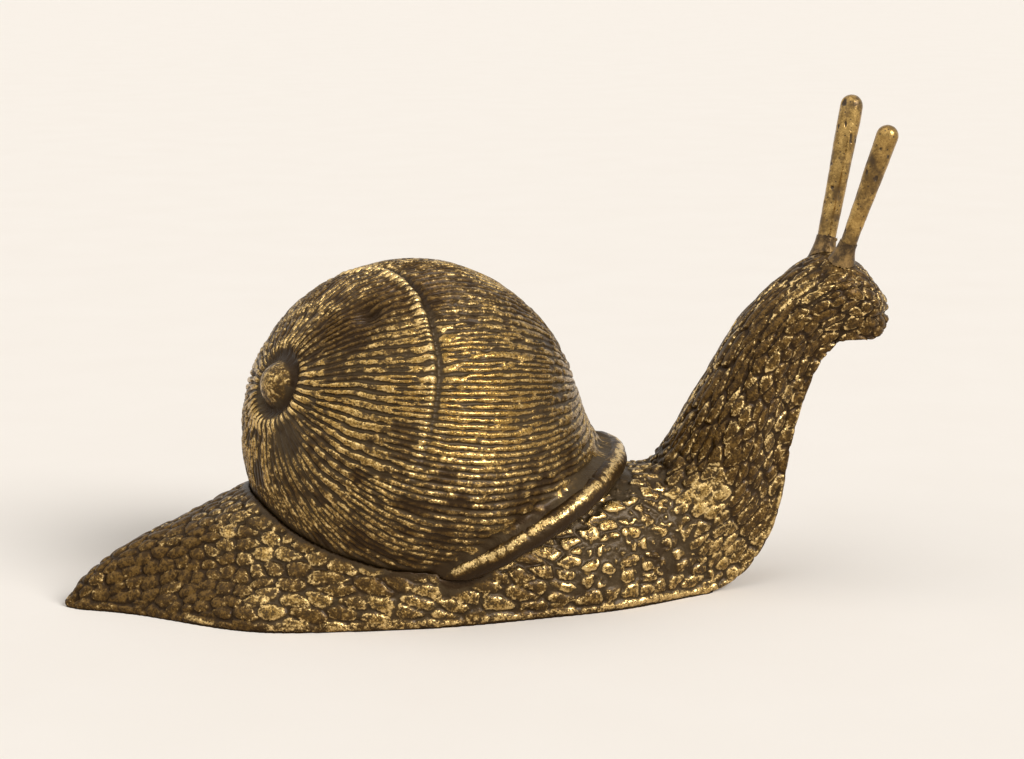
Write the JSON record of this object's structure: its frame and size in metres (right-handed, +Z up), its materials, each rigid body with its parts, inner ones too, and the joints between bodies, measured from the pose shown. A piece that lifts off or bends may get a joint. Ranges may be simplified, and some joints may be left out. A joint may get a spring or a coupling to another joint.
{
  "type": "snail ornament",
  "caption": "Cast bronze snail figurine: creeping body with raised neck, coiled ribbed shell with rolled lip, and brazed-in feelers; stands flat on its foot.",
  "frame": {"origin": "on the ground plane, under the centre of the bounding box", "axes": "+X the way the snail creeps, from tail to head; +Z up; -Y the snail's right side, where the shell's apex is"},
  "size_m": [0.21, 0.0854, 0.1239],
  "materials": {
    "body_bronze": "cast bronze, dark brown patina worn to golden high spots",
    "shell_bronze": "cast bronze, dark brown patina worn to golden high spots",
    "feeler_bronze": "cast bronze, rubbed golden, with casting pits",
    "braze": "smooth brazed filler, dark grey-brown",
    "screw_steel": "plain steel, dull"
  },
  "bodies": {
    "root": {"body_casting": "body_bronze", "shell_casting": "shell_bronze", "right_tentacle": "feeler_bronze", "left_tentacle": "feeler_bronze", "right_tentacle_braze": "braze", "left_tentacle_braze": "braze", "shell_screw": "screw_steel", "shell_washer": "screw_steel"}
  },
  "joints": []
}
